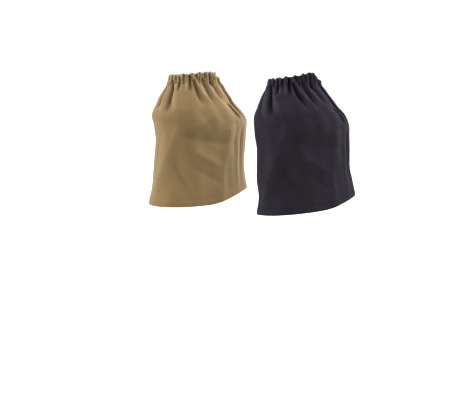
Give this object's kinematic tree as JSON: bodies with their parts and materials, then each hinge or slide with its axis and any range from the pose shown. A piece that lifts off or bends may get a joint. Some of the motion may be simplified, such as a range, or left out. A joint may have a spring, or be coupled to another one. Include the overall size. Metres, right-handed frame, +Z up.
{
  "type": "boot covers",
  "caption": "Pair of elasticated cotton drill boot covers, one khaki and one navy, in their worn form without the boots.",
  "frame": {"origin": "middle of the khaki cover's elastic ring, where the wearer's ankle holds it", "axes": "+Z up, -Y towards the toes, +X towards the wearer's left; the navy cover stands at +X +Y of the khaki one"},
  "size_m": [0.2407, 0.329, 0.2414],
  "materials": {
    "khaki_drill": "plain woven cotton drill, matt",
    "navy_drill": "plain woven cotton drill, matt"
  },
  "bodies": {
    "root": {"khaki_body": "khaki_drill", "khaki_casing": "khaki_drill", "khaki_hem": "khaki_drill", "navy_body": "navy_drill", "navy_casing": "navy_drill", "navy_hem": "navy_drill"}
  },
  "joints": []
}
